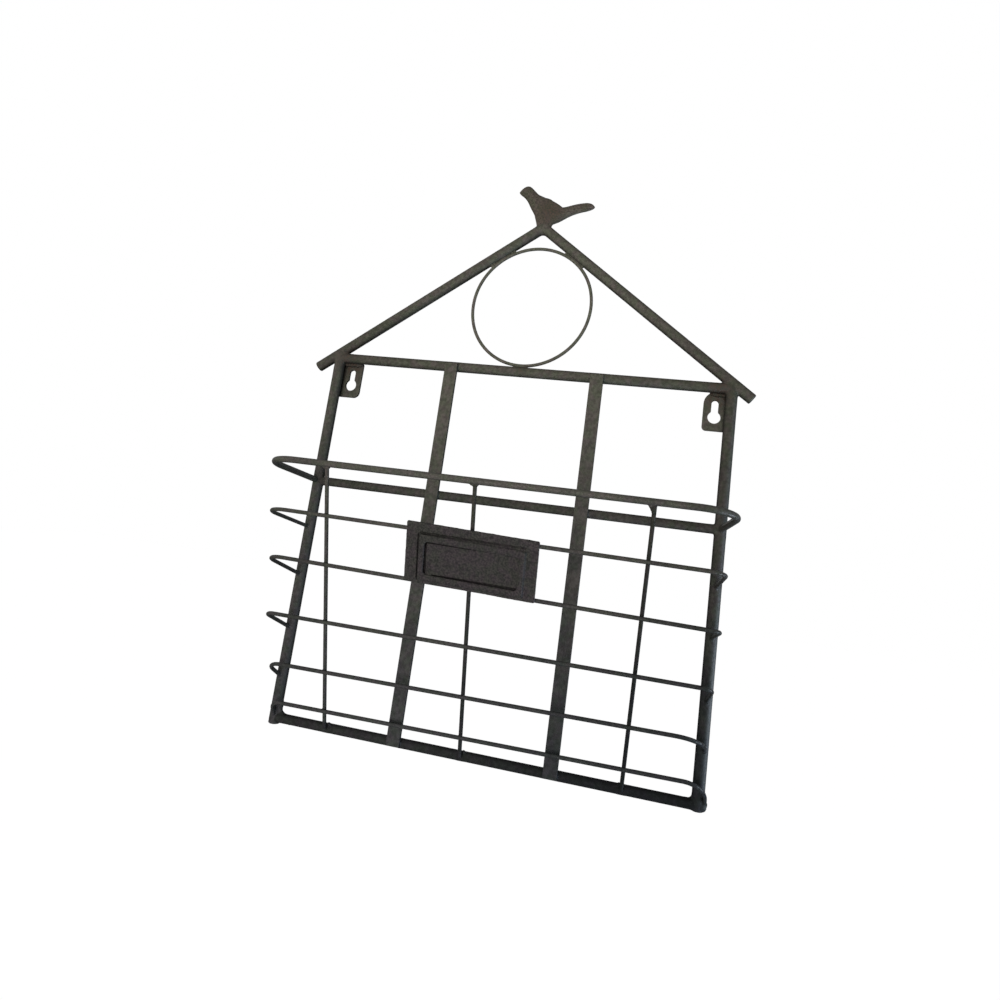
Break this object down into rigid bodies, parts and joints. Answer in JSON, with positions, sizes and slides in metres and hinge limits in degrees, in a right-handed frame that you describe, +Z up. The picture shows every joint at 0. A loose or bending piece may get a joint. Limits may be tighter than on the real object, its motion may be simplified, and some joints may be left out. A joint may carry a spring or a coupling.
{
  "type": "letter rack",
  "caption": "House-shaped wall letter rack of welded iron rods with a bird on the ridge, a ring in the gable, and a flared wire basket with a blank label plate.",
  "frame": {"origin": "on the wall, midway between the middles of the two keyholes' heads", "axes": "+X along the wall to the right as the rack is seen, +Y into the wall, +Z up"},
  "size_m": [0.347, 0.0825, 0.4412],
  "materials": {
    "frame_iron": "satin dark bronze finish over iron rod, a little rusty at the welds",
    "wire_iron": "satin near-black finish over iron wire",
    "cast_iron": "dark cast surface, mottled and faintly brown"
  },
  "bodies": {
    "root": {"left_upright": "frame_iron", "right_upright": "frame_iron", "top_rail": "frame_iron", "mid_rail": "frame_iron", "bottom_rail": "frame_iron", "left_rafter": "frame_iron", "right_rafter": "frame_iron", "left_strap": "frame_iron", "right_strap": "frame_iron", "left_hanger_plate": "frame_iron", "right_hanger_plate": "frame_iron", "rim_hoop": "wire_iron", "basket_hoop_1": "wire_iron", "basket_hoop_2": "wire_iron", "basket_hoop_3": "wire_iron", "basket_hoop_4": "wire_iron", "foot_hoop": "wire_iron", "gable_ring": "wire_iron", "left_wire": "wire_iron", "centre_wire": "wire_iron", "right_wire": "wire_iron", "bird": "cast_iron", "label_plate": "cast_iron", "label_frame": "cast_iron"}
  },
  "joints": []
}
